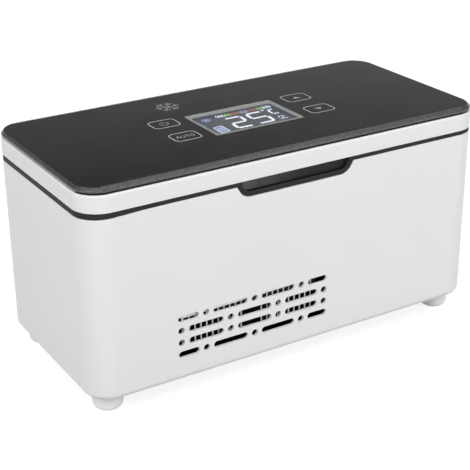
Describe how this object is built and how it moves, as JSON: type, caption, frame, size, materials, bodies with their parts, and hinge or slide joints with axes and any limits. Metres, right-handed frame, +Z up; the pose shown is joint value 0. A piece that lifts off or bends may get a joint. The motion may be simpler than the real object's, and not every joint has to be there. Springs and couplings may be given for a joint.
{
  "type": "insulin cooling case",
  "caption": "White portable insulin cooling case on feet, with a hinged lid, black touch panel and display, a finger notch, front vents and a fan-cooled thermoelectric chamber.",
  "frame": {"origin": "centre of the case in plan, on the surface that the feet stand on", "axes": "+X along the case's length to the right seen from the front, +Y to the rear, +Z up"},
  "size_m": [0.208, 0.0996, 0.1079],
  "materials": {
    "case_white": "fine satin moulded white",
    "base_white": "matt moulded white",
    "foot_white": "smooth soft white",
    "trim_black": "satin moulded black",
    "panel_black": "polished black with printed keys",
    "window_clear": "clear pane",
    "screen_grey": "light grey frame",
    "screen_dark": "dark liquid crystal screen",
    "tray_aluminium": "brushed sheet",
    "sink_aluminium": "extruded, bare",
    "steel": "plated",
    "foam": "fine closed-cell foam",
    "rubber": "soft seal",
    "ceramic": "white alumina plates",
    "fan_black": "moulded black",
    "board_green": "lacquered circuit board",
    "cell_wrap": "shrink sleeve",
    "ribbon_film": "amber film with copper tracks"
  },
  "bodies": {
    "case": {"outer_case": "case_white", "base_plate": "base_white", "foot_1": "foot_white", "foot_2": "foot_white", "foot_3": "foot_white", "foot_4": "foot_white", "base_screw_1": "steel", "base_screw_2": "steel", "base_screw_3": "steel", "base_screw_4": "steel", "trim_frame": "trim_black", "cold_tray": "tray_aluminium", "insulation_foam": "foam", "temperature_sensor": "steel", "cold_block": "sink_aluminium", "cooling_module": "ceramic", "heat_sink": "sink_aluminium", "sink_screw_1": "steel", "sink_screw_2": "steel", "fan_frame": "fan_black", "fan_screw_1": "steel", "fan_screw_2": "steel", "fan_screw_3": "steel", "fan_screw_4": "steel", "battery_cradle": "fan_black", "battery_cell_1": "cell_wrap", "battery_cell_2": "cell_wrap", "battery_cell_3": "cell_wrap", "main_board": "board_green", "power_inlet": "trim_black", "display_ribbon": "ribbon_film", "case_magnet_1": "steel", "case_magnet_2": "steel", "hinge_pin_1": "steel", "hinge_pin_2": "steel"},
    "lid": {"lid_shell": "case_white", "top_panel": "panel_black", "display_window": "window_clear", "screen_frame": "screen_grey", "screen": "screen_dark", "display_board": "board_green", "touch_sensor_mode": "rubber", "touch_sensor_down": "rubber", "touch_sensor_power": "rubber", "touch_sensor_up": "rubber", "inner_cover": "trim_black", "lid_gasket": "rubber", "lid_foam": "foam", "lid_screw_1": "steel", "lid_screw_2": "steel", "lid_screw_3": "steel", "lid_screw_4": "steel", "lid_magnet_1": "steel", "lid_magnet_2": "steel"},
    "fan": {"fan_rotor": "fan_black"}
  },
  "joints": [
    {"name": "lid_hinge", "type": "hinge", "parent": "case", "child": "lid", "pos_m": [0, 0.04845, 0.0974], "axis": [-1, 0, 0], "range_deg": [0, 105], "deforming": ["display_ribbon"]},
    {"name": "fan_spin", "type": "hinge", "parent": "case", "child": "fan", "pos_m": [-0.02285, 0, 0.01655], "axis": [0, 0, 1], "continuous": true}
  ]
}
